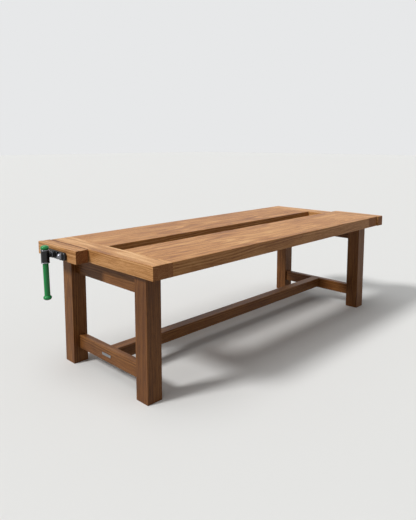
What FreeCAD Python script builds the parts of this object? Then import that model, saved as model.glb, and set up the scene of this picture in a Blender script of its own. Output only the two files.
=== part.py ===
"""A double-sided woodworking bench with a vise across each end, in millimetres.

The bench stands on z = 0, is centred on x = y = 0 and runs along X. It looks the same after a
half turn about Z, so each piece is built once, for the left end or the back half, and its twin is
the same body turned round. The top is two slabs with an open tool slot between them, held by an
end cap at each end. Each vise has a wooden jaw on two guide rods, moved by a screw through the
cap, and its handle slides through a hub on the end of the screw.
"""

import FreeCAD, Part
import math
import operator
import os
import types

import Sketcher
from FreeCAD import Placement, Rotation, Vector

SIZES = {
    # the top
    "bench_height": 860,
    "top_length": 2650,
    "top_width": 1120,
    "top_thickness": 86,
    "cap_width": 147,
    "slot_width": 164,
    "arris": 2,
    # the tenons of the slabs, which the end caps hold with pegs from below
    "slab_tenon_length": 90,
    "slab_tenon_thickness": 30,
    "slab_tenon_above_underside": 28,
    "inner_tenon_from_slot": 30,
    "inner_tenon_from_rod_bush": 25,
    "outer_tenon_from_side": 30,
    "outer_tenon_width": 60,
    "cap_peg_diameter": 18,
    "cap_peg_length": 70,
    # the two end frames and the long stretcher
    "leg_side": 110,
    "leg_from_end": 28,
    "leg_from_side": 98,
    "rail_thickness": 50,
    "rail_set_back": 42,
    "upper_rail_height": 131,
    "stretcher_height": 93,
    "stretcher_above_floor": 108,
    "long_stretcher_width": 80,
    "long_stretcher_height": 82,
    "rail_tenon_length": 70,
    "rail_tenon_thickness": 24,
    "rail_tenon_shoulder": 14,
    "long_mortise_wall": 16,
    "long_tenon_shoulder": 16,
    "stretcher_peg_diameter": 12,
    "stretcher_peg_length": 70,
    # coach screws up through each upper rail into the end cap
    "coach_screw_diameter": 12,
    "coach_screw_length": 90,
    "coach_screw_in_rail": 40,
    "coach_head_height": 8,
    "coach_head_across": 19,
    "coach_washer_diameter": 28,
    "coach_washer_thickness": 3,
    "coach_screw_inner_place": 70,
    # the bare plate on the left end stretcher
    "blank_plate_length": 96,
    "blank_plate_height": 18,
    "blank_plate_thickness": 2,
    "blank_plate_corner": 3,
    "blank_plate_off_centre": 18,
    "plate_pin_diameter": 4,
    "plate_pin_head": 8,
    "plate_pin_length": 12,
    # the vise jaw and where its screw and guide rods pass
    "jaw_length": 487,
    "jaw_beyond_side": 12,
    "jaw_thickness": 88,
    "jaw_height": 86,
    "jaw_round": 3,
    "jaw_open": 5,
    "screw_from_side": 220,
    "screw_below_top": 52,
    "rod_from_screw": 98,
    "rod_diameter": 22,
    "rod_thread_diameter": 16,
    # the cast front plate
    "front_plate_beyond_rod": 50,
    "front_plate_height": 54,
    "front_plate_thickness": 18,
    "front_plate_end_round": 24,
    "front_plate_edge_round": 5,
    "screw_boss_diameter": 48,
    "screw_boss_height": 8,
    "rod_boss_diameter": 50,
    "rod_boss_height": 5,
    "plate_screw_diameter": 6,
    "plate_screw_head": 12,
    "plate_screw_length": 55,
    "plate_screw_along": 46,
    "plate_screw_up": 14,
    "cap_nut_rim": 3,
    "cap_nut_diameter": 44,
    "cap_nut_dome_diameter": 39,
    "cap_nut_dome_height": 17,
    # the screw, its thrust collar and the retainer behind the jaw
    "screw_diameter": 28,
    "screw_reach": 415,
    "screw_end_chamfer": 3,
    "collar_diameter": 42,
    "collar_thickness": 10,
    "collar_front_round": 6,
    "collar_float": 0.3,
    "retainer_diameter": 44,
    "retainer_thickness": 10,
    "retainer_pin_diameter": 5,
    # the hub and the handle through it
    "hub_reach": 73,
    "hub_diameter": 54,
    "hub_above_screw": 31,
    "hub_below_screw": 45,
    "hub_bore": 44,
    "hub_socket_diameter": 38,
    "hub_pin_diameter": 6,
    "spigot_diameter": 22,
    "bush_flange_diameter": 57,
    "bush_flange_thickness": 6,
    "hub_bush_length": 20,
    "handle_diameter": 38,
    "handle_between_knobs": 305,
    "left_handle_lean_degrees": 2.4,
    "right_handle_lean_degrees": 90,
    "right_handle_slid": 108,
    "knob_diameter": 56,
    "knob_height": 30,
    "knob_waist_height": 12.5,
    "knob_lower_round": 15,
    "knob_upper_round": 18.5,
    "knob_face_diameter": 40,
    "knob_crown_diameter": 30,
    "knob_crown_rise": 2.5,
    "knob_spigot_diameter": 20,
    "knob_spigot_length": 18,
    # the nut in the slab's underside, the rod bushes in the cap and the bar that ties the rods
    "mechanism_pocket_length": 286,
    "mechanism_pocket_beyond_rod": 24,
    "mechanism_pocket_depth": 60,
    "nut_diameter": 48,
    "nut_length": 46,
    "nut_flange_length": 96,
    "nut_flange_height": 42,
    "nut_flange_thickness": 10,
    "nut_screw_diameter": 7,
    "nut_screw_head": 13,
    "nut_screw_head_height": 4,
    "nut_screw_length": 45,
    "nut_screw_along": 38,
    "nut_screw_up": 14,
    "rod_bush_wall": 4,
    "rod_bush_length": 40,
    "rod_bush_flange": 5,
    "rod_bush_flange_thickness": 3,
    "rod_bush_below_face": 0.3,
    "tie_bar_beyond_rod": 20,
    "tie_bar_height": 36,
    "tie_bar_thickness": 14,
    "tie_bar_from_pocket_end": 34,
    "tie_nut_across": 24,
    "tie_nut_thickness": 12,
    # clearances
    "glue_gap": 0.1,
    "mortise_extra": 2,
    "press_gap": 0.05,
    "running_gap": 0.05,
    "free_gap": 2,
    "pilot_gap": 0.1,
}

AS_DRAWN = Placement()
HALF_TURN = Placement(Vector(0, 0, 0), Rotation(Vector(0, 0, 1), 180))
ALONG_X = Rotation(Vector(0, 1, 0), 90)
OPERATORS = {"+": operator.add, "-": operator.sub, "*": operator.mul, "/": operator.truediv}

doc = FreeCAD.newDocument("Bench")
nodes = {}


# ---- the sheet, and numbers that remember their formula ----


class Size:
    """A number from the sheet, or worked out from others, together with its formula."""

    def __init__(self, value, formula):
        self.value = value
        self.formula = formula

    def __add__(self, other):
        return worked_out(self, "+", other)

    def __radd__(self, other):
        return worked_out(other, "+", self)

    def __sub__(self, other):
        return worked_out(self, "-", other)

    def __rsub__(self, other):
        return worked_out(other, "-", self)

    def __mul__(self, other):
        return worked_out(self, "*", other)

    def __rmul__(self, other):
        return worked_out(other, "*", self)

    def __truediv__(self, other):
        return worked_out(self, "/", other)

    def __neg__(self):
        return worked_out(0, "-", self)


def as_size(amount):
    """A plain number as a Size."""
    if isinstance(amount, Size):
        return amount
    return Size(amount, f"{amount}")


def worked_out(first, sign, second):
    """Two sizes joined by an operator."""
    first = as_size(first)
    second = as_size(second)
    value = OPERATORS[sign](first.value, second.value)
    return Size(value, f"({first.formula} {sign} {second.formula})")


def fill_sheet():
    """The sheet of driving dimensions, and a name for each of them."""
    sheet = doc.addObject("Spreadsheet::Sheet", "Sizes")
    for row, (alias, number) in enumerate(SIZES.items(), 1):
        sheet.set(f"A{row}", alias)
        sheet.set(f"B{row}", f"{number}")
        sheet.setAlias(f"B{row}", alias)
    doc.recompute()
    return types.SimpleNamespace(**{alias: Size(number, f"Sizes.{alias}") for alias, number in SIZES.items()})


def bind(thing, path, amount):
    """Tie a property to a formula of the sheet."""
    thing.setExpression(path, as_size(amount).formula)


# ---- sketches and features ----


def new_body(label, placement=AS_DRAWN):
    """A body that becomes a node of its own."""
    body = doc.addObject("PartDesign::Body", label)
    body.Label = label
    body.Placement = placement
    nodes[label] = body
    return body


def new_sketch(body, name, plane, lift, across=0, up=0):
    """A sketch on the body's own XY, XZ or YZ plane, lifted to a coordinate on the third axis."""
    sketch = body.newObject("Sketcher::SketchObject", name)
    origin_plane = next(part for part in body.Origin.OriginFeatures if part.Role == f"{plane}_Plane")
    sketch.AttachmentSupport = [(origin_plane, "")]
    sketch.MapMode = "FlatFace"
    # the XZ plane's normal points to -Y
    bind(sketch, "AttachmentOffset.Base.z", -as_size(lift) if plane == "XZ" else lift)
    bind(sketch, "AttachmentOffset.Base.x", across)
    bind(sketch, "AttachmentOffset.Base.y", up)
    return sketch


def pin_point(sketch, edge, end, across, up):
    """Fix one end of a sketch edge at a place given by two formulas."""
    for kind, amount in (("DistanceX", across), ("DistanceY", up)):
        amount = as_size(amount)
        index = sketch.addConstraint(Sketcher.Constraint(kind, -1, 1, edge, end, float(amount.value)))
        bind(sketch, f"Constraints[{index}]", amount)


def arc_middle(start, end, radius):
    """The middle of the arc between two points that bulges to the left of the way, or to the
    right for a negative radius."""
    way = end - start
    half_chord = way.Length / 2
    left = Vector(-way.y, way.x, 0).normalize()
    rise = abs(radius) - math.sqrt(max(radius**2 - half_chord**2, 0))
    return (start + end) / 2 + left * math.copysign(rise, radius)


def cap_radius(half_width, rise):
    """The radius of a round cap, from half its width and its rise."""
    return (half_width * half_width + rise * rise) / (rise * 2)


def draw_outline(sketch, corners):
    """A closed outline through corners (across, up) or (across, up, radius of the arc to the next)."""
    points = [Vector(as_size(corner[0]).value, as_size(corner[1]).value, 0) for corner in corners]
    edges = []
    for number, corner in enumerate(corners):
        start = points[number]
        end = points[(number + 1) % len(points)]
        if len(corner) == 2:
            edges.append((sketch.addGeometry(Part.LineSegment(start, end)), 1, 2))
            continue
        radius = as_size(corner[2])
        middle = arc_middle(start, end, radius.value)
        # an arc that bulges to the left runs clockwise, so it is drawn from its far end
        if radius.value > 0:
            edge = (sketch.addGeometry(Part.Arc(end, middle, start)), 2, 1)
        else:
            edge = (sketch.addGeometry(Part.Arc(start, middle, end)), 1, 2)
            radius = -radius
        edges.append(edge)
        index = sketch.addConstraint(Sketcher.Constraint("Radius", edge[0], radius.value))
        bind(sketch, f"Constraints[{index}]", radius)
    for number, (edge, _, far_end) in enumerate(edges):
        following, near_end, _ = edges[(number + 1) % len(edges)]
        sketch.addConstraint(Sketcher.Constraint("Coincident", edge, far_end, following, near_end))
    for (edge, near_end, _), corner in zip(edges, corners):
        pin_point(sketch, edge, near_end, corner[0], corner[1])


def draw_circle(sketch, across, up, radius):
    """A circle at a place given by formulas."""
    centre = Vector(as_size(across).value, as_size(up).value, 0)
    radius = as_size(radius)
    edge = sketch.addGeometry(Part.Circle(centre, Vector(0, 0, 1), radius.value))
    pin_point(sketch, edge, 3, across, up)
    index = sketch.addConstraint(Sketcher.Constraint("Radius", edge, radius.value))
    bind(sketch, f"Constraints[{index}]", radius)


def draw(sketch, outlines):
    """Circles, as (across, up, radius), and outlines, as lists of corners."""
    for outline in outlines:
        if isinstance(outline, tuple):
            draw_circle(sketch, *outline)
        else:
            draw_outline(sketch, outline)


def rectangle(left, right, low, high):
    """The corners of an upright rectangle."""
    return [(left, low), (right, low), (right, high), (left, high)]


def pad(body, name, plane, start, end, *outlines):
    """Material between two coordinates on the axis that stands on the plane."""
    sketch = new_sketch(body, f"{name}_outline", plane, end if plane == "XZ" else start)
    draw(sketch, outlines)
    feature = body.newObject("PartDesign::Pad", name)
    feature.Profile = sketch
    bind(feature, "Length", as_size(end) - start)
    body.Tip = feature
    return feature


def pocket(body, name, plane, start, end, *outlines):
    """A cut between two coordinates on the axis that stands on the plane."""
    sketch = new_sketch(body, f"{name}_outline", plane, start if plane == "XZ" else end)
    draw(sketch, outlines)
    feature = body.newObject("PartDesign::Pocket", name)
    feature.Profile = sketch
    bind(feature, "Length", as_size(end) - start)
    body.Tip = feature
    return feature


def turn_about_x(body, name, centre_y, centre_z, profile):
    """A turned shape about a line along X: its profile is (x, radius) points."""
    sketch = new_sketch(body, f"{name}_profile", "XZ", centre_y, up=centre_z)
    draw(sketch, [profile])
    return revolve(body, name, sketch, "H_Axis")


def turn_about_z(body, name, centre_x, centre_y, profile):
    """A turned shape about an upright line: its profile is (radius, z) points."""
    sketch = new_sketch(body, f"{name}_profile", "XZ", centre_y, across=centre_x)
    draw(sketch, [profile])
    return revolve(body, name, sketch, "V_Axis")


def revolve(body, name, sketch, axis):
    """A full turn of a sketch about one of its own axes."""
    feature = body.newObject("PartDesign::Revolution", name)
    feature.Profile = sketch
    feature.ReferenceAxis = (sketch, [axis])
    feature.Angle = 360
    body.Tip = feature
    return feature


def round_all(body, radius):
    """Round every edge that the body has so far."""
    base = body.Tip
    feature = body.newObject("PartDesign::Fillet", f"{body.Name}_rounding")
    feature.Base = (base, [])
    feature.UseAllEdges = True
    bind(feature, "Radius", radius)
    body.Tip = feature


def round_edges(body, name, radius, wanted):
    """Round the edges of the body so far for which wanted(edge) is true."""
    doc.recompute()
    base = body.Tip
    names = [f"Edge{number}" for number, edge in enumerate(base.Shape.Edges, 1) if wanted(edge)]
    feature = body.newObject("PartDesign::Fillet", name)
    feature.Base = (base, names)
    bind(feature, "Radius", radius)
    body.Tip = feature


def runs_along_x(edge):
    """Whether an edge is a straight one along X."""
    box = edge.BoundBox
    return box.XLength > 1 and box.YLength < 1e-6 and box.ZLength < 1e-6


def lies_at_x(edge, place):
    """Whether an edge lies in the upright plane across X at a place."""
    box = edge.BoundBox
    return abs(box.XMin - place) < 1e-4 and abs(box.XMax - place) < 1e-4


def board(label, x, y, z, rounding, placement=AS_DRAWN):
    """A sawn board with rounded arrises: x, y and z are its (from, to)."""
    body = new_body(label, placement)
    pad(body, f"{label}_board", "XY", z[0], z[1], rectangle(x[0], x[1], y[0], y[1]))
    round_all(body, rounding)
    return body


def move_to(thing, x, y, z, rotation=None):
    """Place a primitive at a point given by formulas."""
    if rotation:
        thing.Placement = Placement(Vector(0, 0, 0), rotation)
    bind(thing, "Placement.Base.x", x)
    bind(thing, "Placement.Base.y", y)
    bind(thing, "Placement.Base.z", z)


def cylinder(name, radius, length, x, y, z, rotation=None):
    """A round bar that starts at a point and runs up, or along its rotation."""
    bar = doc.addObject("Part::Cylinder", name)
    bind(bar, "Radius", radius)
    bind(bar, "Height", length)
    move_to(bar, x, y, z, rotation)
    return bar


def hexagon(name, across_flats, length, x, y, z, rotation=None):
    """A six-sided bar that starts at a point and runs up, or along its rotation."""
    bar = doc.addObject("Part::Prism", name)
    bar.Polygon = 6
    bind(bar, "Circumradius", across_flats / math.sqrt(3))
    bind(bar, "Height", length)
    move_to(bar, x, y, z, rotation)
    return bar


def fused(name, *pieces):
    """Primitives joined into one solid."""
    whole = doc.addObject("Part::MultiFuse", name)
    whole.Shapes = list(pieces)
    return whole


def cut(name, base, tool):
    """A primitive with another taken out of it."""
    rest = doc.addObject("Part::Cut", name)
    rest.Base = base
    rest.Tool = tool
    return rest


def group(label, pieces, placement=AS_DRAWN):
    """Like pieces in one node, each still a solid of its own."""
    whole = doc.addObject("Part::Compound", label)
    whole.Label = label
    whole.Links = list(pieces)
    whole.Placement = placement
    nodes[label] = whole
    return whole


# ---- where things are, for the left end and the back half ----

size = fill_sheet()

top = size.bench_height
underside = size.bench_height - size.top_thickness
side = size.top_width / 2
slot_side = size.slot_width / 2
cap_outer = -size.top_length / 2
cap_inner = cap_outer + size.cap_width

leg_outer_x = cap_outer + size.leg_from_end
leg_inner_x = leg_outer_x + size.leg_side
leg_outer_y = side - size.leg_from_side
leg_inner_y = leg_outer_y - size.leg_side
rail_outer = leg_outer_x + size.rail_set_back
rail_inner = rail_outer + size.rail_thickness
rail_middle = (rail_outer + rail_inner) / 2
stretcher_top = size.stretcher_above_floor + size.stretcher_height
long_stretcher_bottom = stretcher_top - size.long_stretcher_height
long_mortise_floor = rail_outer + size.long_mortise_wall
long_tenon_end = long_mortise_floor + size.mortise_extra
stretcher_peg_x = (long_tenon_end + rail_inner) / 2
upper_rail_bottom = underside - size.upper_rail_height

tenon_low = underside + size.slab_tenon_above_underside
tenon_high = tenon_low + size.slab_tenon_thickness
outer_tenon = (side - size.outer_tenon_from_side - size.outer_tenon_width, side - size.outer_tenon_from_side)
cap_peg_x = cap_inner - size.slab_tenon_length / 2
coach_head_top = underside - size.coach_screw_in_rail

jaw_back = cap_outer - size.jaw_open
jaw_front = jaw_back - size.jaw_thickness
jaw_outer_end = side + size.jaw_beyond_side
plate_face = jaw_front - size.front_plate_thickness
screw_boss_face = plate_face - size.screw_boss_height
rod_boss_face = plate_face - size.rod_boss_height
collar_back = screw_boss_face - size.collar_float
collar_front = collar_back - size.collar_thickness
retainer_front = jaw_back - size.retainer_thickness - size.free_gap * 2
hub_x = jaw_front - size.hub_reach
hub_socket_end = collar_front - size.free_gap / 2
spigot_start = hub_x + size.hub_bore / 2 + size.free_gap / 2
hub_pin_x = (spigot_start + hub_socket_end) / 2 + size.free_gap / 2
screw_y = side - size.screw_from_side
screw_z = top - size.screw_below_top
screw_tip = cap_outer + size.screw_reach
rod_places = {"inner": screw_y - size.rod_from_screw, "outer": screw_y + size.rod_from_screw}
pocket_end = cap_inner + size.mechanism_pocket_length
tie_bar_front = pocket_end - size.tie_bar_from_pocket_end
tie_bar_back = tie_bar_front + size.tie_bar_thickness
tie_nut_back = tie_bar_back + size.tie_nut_thickness
screw_hole = size.screw_diameter / 2 + size.free_gap
rod_bush_outer = size.rod_diameter / 2 + size.rod_bush_wall
rod_bush_rim = rod_bush_outer + size.rod_bush_flange
rod_bush_side = rod_places["inner"] - rod_bush_outer
inner_tenon = (slot_side + size.inner_tenon_from_slot, rod_bush_side - size.inner_tenon_from_rod_bush)
# the outer coach screws pass midway between a tenon and a rod bush
coach_places = (size.coach_screw_inner_place, (inner_tenon[1] + rod_bush_side) / 2)
nut_back = cap_inner + size.nut_length
nut_flange_back = cap_inner + size.nut_flange_thickness

hub_low = screw_z - size.hub_below_screw
hub_high = screw_z + size.hub_above_screw
upper_knob_face = hub_high + size.bush_flange_thickness
lower_knob_face = upper_knob_face - size.handle_between_knobs

plate_screw_places = [(along, up) for along in (-1, 1) for up in (-1, 1)]


# ---- the top ----


def make_slab(label, placement):
    """Half of the top: tenons at both ends, and the vise's pocket milled in its left underside."""
    body = board(label, (cap_inner, -cap_inner), (slot_side, side), (underside, top), size.arris, placement)
    tenons = [rectangle(y[0], y[1], tenon_low, tenon_high) for y in (inner_tenon, outer_tenon)]
    for end, start, finish in (
        ("left", cap_inner - size.slab_tenon_length, cap_inner + size.arris),
        ("right", -cap_inner - size.arris, -cap_inner + size.slab_tenon_length),
    ):
        pad(body, f"{label}_{end}_tenons", "YZ", start, finish, *tenons)
    pegs = [(x, (y[0] + y[1]) / 2, size.cap_peg_diameter / 2 + size.press_gap)
            for x in (cap_peg_x, -cap_peg_x) for y in (inner_tenon, outer_tenon)]
    pocket(body, f"{label}_peg_holes", "XY", tenon_low - 1, tenon_high + 1, *pegs)
    half_pocket = size.rod_from_screw + size.mechanism_pocket_beyond_rod
    recess = rectangle(cap_inner - 1, pocket_end, screw_y - half_pocket, screw_y + half_pocket)
    pocket(body, f"{label}_vise_pocket", "XY", underside - 1, underside + size.mechanism_pocket_depth, recess)


def make_end_cap(label, placement):
    """The cross piece at an end, with sockets for the slabs and bores for the vise."""
    body = board(label, (cap_outer, cap_inner), (-side, side), (underside, top), size.arris, placement)
    gap = size.glue_gap
    sockets = []
    for low, high in (inner_tenon, outer_tenon):
        sockets.append(rectangle(low - gap, high + gap, tenon_low - gap, tenon_high + gap))
        sockets.append(rectangle(-high - gap, -low + gap, tenon_low - gap, tenon_high + gap))
    socket_floor = cap_inner - size.slab_tenon_length - size.mortise_extra
    pocket(body, f"{label}_sockets", "YZ", socket_floor, cap_inner, *sockets)
    peg_holes = []
    for low, high in (inner_tenon, outer_tenon):
        for way in (-1, 1):
            peg_holes.append((cap_peg_x, (low + high) / 2 * way, size.cap_peg_diameter / 2 + size.press_gap))
    peg_top = underside + size.cap_peg_length + size.free_gap / 2
    pocket(body, f"{label}_peg_holes", "XY", underside, peg_top, *peg_holes)
    coach_radius = size.coach_screw_diameter / 2 + size.pilot_gap
    coach_holes = [(rail_middle, place * way, coach_radius) for place in coach_places for way in (-1, 1)]
    coach_top = coach_head_top + size.coach_screw_length + size.free_gap
    pocket(body, f"{label}_coach_holes", "XY", underside, coach_top, *coach_holes)
    bores = [(screw_y, screw_z, screw_hole)]
    bores += [(place, screw_z, rod_bush_outer + size.press_gap) for place in rod_places.values()]
    pocket(body, f"{label}_vise_bores", "YZ", cap_outer, cap_inner, *bores)
    rims = [(place, screw_z, rod_bush_rim + size.press_gap) for place in rod_places.values()]
    rim_floor = cap_outer + size.rod_bush_flange_thickness + size.rod_bush_below_face
    pocket(body, f"{label}_bush_rims", "YZ", cap_outer, rim_floor, *rims)
    pilots = [(screw_y + size.nut_screw_along * along, screw_z + size.nut_screw_up * up,
               size.nut_screw_diameter / 2 + size.pilot_gap) for along, up in plate_screw_places]
    pilot_floor = nut_flange_back - size.nut_screw_length - size.free_gap
    pocket(body, f"{label}_nut_pilots", "YZ", pilot_floor, cap_inner, *pilots)


def make_cap_pegs():
    """The pegs that hold the slab tenons, driven up from below."""
    pegs = []
    for x in (cap_peg_x, -cap_peg_x):
        for low, high in (inner_tenon, outer_tenon):
            for way in (-1, 1):
                name = f"cap_peg_{len(pegs) + 1}"
                radius = size.cap_peg_diameter / 2
                pegs.append(cylinder(name, radius, size.cap_peg_length, x, (low + high) / 2 * way, underside))
    group("cap_pegs", pegs)


# ---- the frame ----


def make_leg(label, way, placement):
    """A leg at the left end, at the back for way 1 and at the front for way -1."""
    ends = sorted((leg_inner_y * way, leg_outer_y * way), key=lambda place: place.value)
    body = board(label, (leg_outer_x, leg_inner_x), ends, (as_size(0), underside), size.arris, placement)
    gap = size.glue_gap
    depth = size.rail_tenon_length + size.mortise_extra
    cheek = size.rail_tenon_thickness / 2 + gap
    rails = (
        (size.stretcher_above_floor, stretcher_top),
        (upper_rail_bottom, underside),
    )
    mortises = [rectangle(rail_middle - cheek, rail_middle + cheek,
                          low + size.rail_tenon_shoulder - gap, high - size.rail_tenon_shoulder + gap)
                for low, high in rails]
    floor, mouth = sorted((leg_inner_y * way, (leg_inner_y + depth) * way), key=lambda place: place.value)
    pocket(body, f"{label}_mortises", "XZ", floor, mouth, *mortises)


def make_cross_rail(label, low, high, placement):
    """A rail between two legs of an end, with a tenon into each."""
    body = board(label, (rail_outer, rail_inner), (-leg_inner_y, leg_inner_y), (low, high), size.arris, placement)
    cheek = size.rail_tenon_thickness / 2
    tenon = rectangle(rail_middle - cheek, rail_middle + cheek,
                      low + size.rail_tenon_shoulder, high - size.rail_tenon_shoulder)
    reach = leg_inner_y + size.rail_tenon_length
    pad(body, f"{label}_back_tenon", "XZ", leg_inner_y - size.arris, reach, tenon)
    pad(body, f"{label}_front_tenon", "XZ", -reach, -leg_inner_y + size.arris, tenon)
    return body


def make_upper_rail(label, placement):
    """The rail under the end cap, with deep counterbores for its coach screws."""
    body = make_cross_rail(label, upper_rail_bottom, underside, placement)
    shank = size.coach_screw_diameter / 2 + size.pilot_gap
    places = [place * way for place in coach_places for way in (-1, 1)]
    pocket(body, f"{label}_shank_holes", "XY", upper_rail_bottom, underside,
           *[(rail_middle, place, shank) for place in places])
    head_hole = size.coach_washer_diameter / 2 + size.free_gap / 2
    pocket(body, f"{label}_counterbores", "XY", upper_rail_bottom, coach_head_top,
           *[(rail_middle, place, head_hole) for place in places])


def make_end_stretcher(label, placement):
    """The low rail between two legs, with a mortise for the long stretcher."""
    body = make_cross_rail(label, size.stretcher_above_floor, stretcher_top, placement)
    half = size.long_stretcher_width / 2 - size.long_tenon_shoulder + size.glue_gap
    low = long_stretcher_bottom + size.long_tenon_shoulder - size.glue_gap
    high = stretcher_top - size.long_tenon_shoulder + size.glue_gap
    pocket(body, f"{label}_mortise", "YZ", long_mortise_floor, rail_inner, rectangle(-half, half, low, high))
    peg = (stretcher_peg_x, 0, size.stretcher_peg_diameter / 2 + size.press_gap)
    peg_top = size.stretcher_above_floor + size.stretcher_peg_length + size.free_gap / 2
    pocket(body, f"{label}_peg_hole", "XY", size.stretcher_above_floor, peg_top, peg)
    return body


def make_long_stretcher():
    """The stretcher along the middle, with a tenon into each end stretcher."""
    label = "long_stretcher"
    half = size.long_stretcher_width / 2
    height = (long_stretcher_bottom, stretcher_top)
    body = board(label, (rail_inner, -rail_inner), (-half, half), height, size.arris)
    tenon = rectangle(-half + size.long_tenon_shoulder, half - size.long_tenon_shoulder,
                      height[0] + size.long_tenon_shoulder, height[1] - size.long_tenon_shoulder)
    pad(body, f"{label}_left_tenon", "YZ", long_tenon_end, rail_inner + size.arris, tenon)
    pad(body, f"{label}_right_tenon", "YZ", -rail_inner - size.arris, -long_tenon_end, tenon)
    peg_places = (stretcher_peg_x, -stretcher_peg_x)
    radius = size.stretcher_peg_diameter / 2 + size.press_gap
    pocket(body, f"{label}_peg_holes", "XY", height[0], height[1], *[(x, 0, radius) for x in peg_places])
    pegs = [cylinder(f"stretcher_peg_{number}", size.stretcher_peg_diameter / 2, size.stretcher_peg_length,
                     x, 0, size.stretcher_above_floor) for number, x in enumerate(peg_places, 1)]
    group("stretcher_pegs", pegs)


def make_coach_screws():
    """The coach screws up through the upper rails into the end caps, and their washers."""
    screws = []
    washers = []
    head_top = coach_head_top - size.coach_washer_thickness
    for x in (rail_middle, -rail_middle):
        for place in coach_places:
            for way in (-1, 1):
                y = place * way
                mark = len(screws) + 1
                shank = cylinder(f"coach_shank_{mark}", size.coach_screw_diameter / 2,
                                 size.coach_screw_length + size.coach_washer_thickness, x, y, head_top)
                head = hexagon(f"coach_head_{mark}", size.coach_head_across, size.coach_head_height,
                               x, y, head_top - size.coach_head_height)
                screws.append(fused(f"coach_screw_{mark}", shank, head))
                disc = cylinder(f"coach_disc_{mark}", size.coach_washer_diameter / 2,
                                size.coach_washer_thickness, x, y, head_top)
                hole = cylinder(f"coach_disc_hole_{mark}", size.coach_screw_diameter / 2 + size.pilot_gap,
                                size.coach_washer_thickness, x, y, head_top)
                washers.append(cut(f"coach_washer_{mark}", disc, hole))
    group("coach_screws", screws)
    group("coach_washers", washers)


def make_blank_plate(stretcher):
    """The small bare metal plate on the left end stretcher, and the two pins that hold it."""
    label = "blank_plate"
    half_length = size.blank_plate_length / 2
    half_height = size.blank_plate_height / 2
    centre = size.blank_plate_off_centre
    middle = size.stretcher_above_floor + size.stretcher_height / 2
    face = rail_outer - size.blank_plate_thickness
    pin_places = [centre + (half_length - half_height) * way for way in (-1, 1)]
    pin_radius = size.plate_pin_diameter / 2
    body = new_body(label)
    outline = rectangle(centre - half_length, centre + half_length, middle - half_height, middle + half_height)
    pad(body, f"{label}_sheet", "YZ", face, rail_outer, outline)
    round_edges(body, f"{label}_corners", size.blank_plate_corner, runs_along_x)
    holes = [(place, middle, pin_radius + size.press_gap) for place in pin_places]
    pocket(body, f"{label}_holes", "YZ", face, rail_outer, *holes)
    pin_end = rail_outer + size.plate_pin_length
    pocket(stretcher, "plate_pin_holes", "YZ", rail_outer, pin_end + size.free_gap / 2, *holes)
    pins = []
    for number, place in enumerate(pin_places, 1):
        pin = doc.addObject("PartDesign::Body", f"plate_pin_{number}")
        head = size.plate_pin_head / 2
        dome = size.plate_pin_head / 4
        turn_about_x(pin, f"plate_pin_{number}_turned", place, middle, [
            (face - dome, 0, cap_radius(head, dome)),
            (face, head),
            (face, pin_radius),
            (pin_end, pin_radius),
            (pin_end, 0),
        ])
        pins.append(pin)
    group("plate_pins", pins)


# ---- the vise ----


def make_jaw(label, placement):
    """The wooden jaw, flush with the top, with bores for the screw and the guide rods."""
    body = board(label, (jaw_front, jaw_back), (jaw_outer_end - size.jaw_length, jaw_outer_end),
                 (top - size.jaw_height, top), size.jaw_round, placement)
    bores = [(screw_y, screw_z, screw_hole)]
    bores += [(place, screw_z, size.rod_diameter / 2 + size.press_gap) for place in rod_places.values()]
    pocket(body, f"{label}_bores", "YZ", jaw_front, jaw_back, *bores)
    recess = (screw_y, screw_z, size.retainer_diameter / 2 + size.free_gap / 2)
    pocket(body, f"{label}_retainer_recess", "YZ", retainer_front - size.collar_float, jaw_back, recess)
    pilots = [(screw_y + size.plate_screw_along * along, screw_z + size.plate_screw_up * up,
               size.plate_screw_diameter / 2 + size.pilot_gap) for along, up in plate_screw_places]
    pilot_end = plate_face + size.plate_screw_length + size.free_gap
    pocket(body, f"{label}_pilots", "YZ", jaw_front, pilot_end, *pilots)


def make_front_plate(label, placement):
    """The cast plate on the jaw's front, with bosses for the screw and the guide rods."""
    body = new_body(label, placement)
    half_length = size.rod_from_screw + size.front_plate_beyond_rod
    half_height = size.front_plate_height / 2
    outline = rectangle(screw_y - half_length, screw_y + half_length, screw_z - half_height, screw_z + half_height)
    pad(body, f"{label}_casting", "YZ", plate_face, jaw_front, outline)
    round_edges(body, f"{label}_ends", size.front_plate_end_round, runs_along_x)
    round_edges(body, f"{label}_edge", size.front_plate_edge_round, lambda edge: lies_at_x(edge, plate_face.value))
    pad(body, f"{label}_screw_boss", "YZ", screw_boss_face, plate_face + 1,
        (screw_y, screw_z, size.screw_boss_diameter / 2))
    pad(body, f"{label}_rod_bosses", "YZ", rod_boss_face, plate_face + 1,
        *[(place, screw_z, size.rod_boss_diameter / 2) for place in rod_places.values()])
    holes = [(screw_y, screw_z, size.screw_diameter / 2 + size.running_gap)]
    holes += [(place, screw_z, size.rod_thread_diameter / 2 + size.press_gap) for place in rod_places.values()]
    holes += [(screw_y + size.plate_screw_along * along, screw_z + size.plate_screw_up * up,
               size.plate_screw_diameter / 2 + size.pilot_gap) for along, up in plate_screw_places]
    pocket(body, f"{label}_holes", "YZ", screw_boss_face, jaw_front, *holes)


def make_plate_screws(label, placement):
    """The four round-head screws that hold the plate to the jaw."""
    screws = []
    head = size.plate_screw_head / 2
    dome = size.plate_screw_head / 4
    for number, (along, up) in enumerate(plate_screw_places, 1):
        name = f"{label}_{number}"
        body = doc.addObject("PartDesign::Body", name)
        y = screw_y + size.plate_screw_along * along
        z = screw_z + size.plate_screw_up * up
        turn_about_x(body, f"{name}_turned", y, z, [
            (plate_face - dome, 0, cap_radius(head, dome)),
            (plate_face, head),
            (plate_face, size.plate_screw_diameter / 2),
            (plate_face + size.plate_screw_length, size.plate_screw_diameter / 2),
            (plate_face + size.plate_screw_length, 0),
        ])
        screws.append(body)
    group(label, screws, placement)


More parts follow.
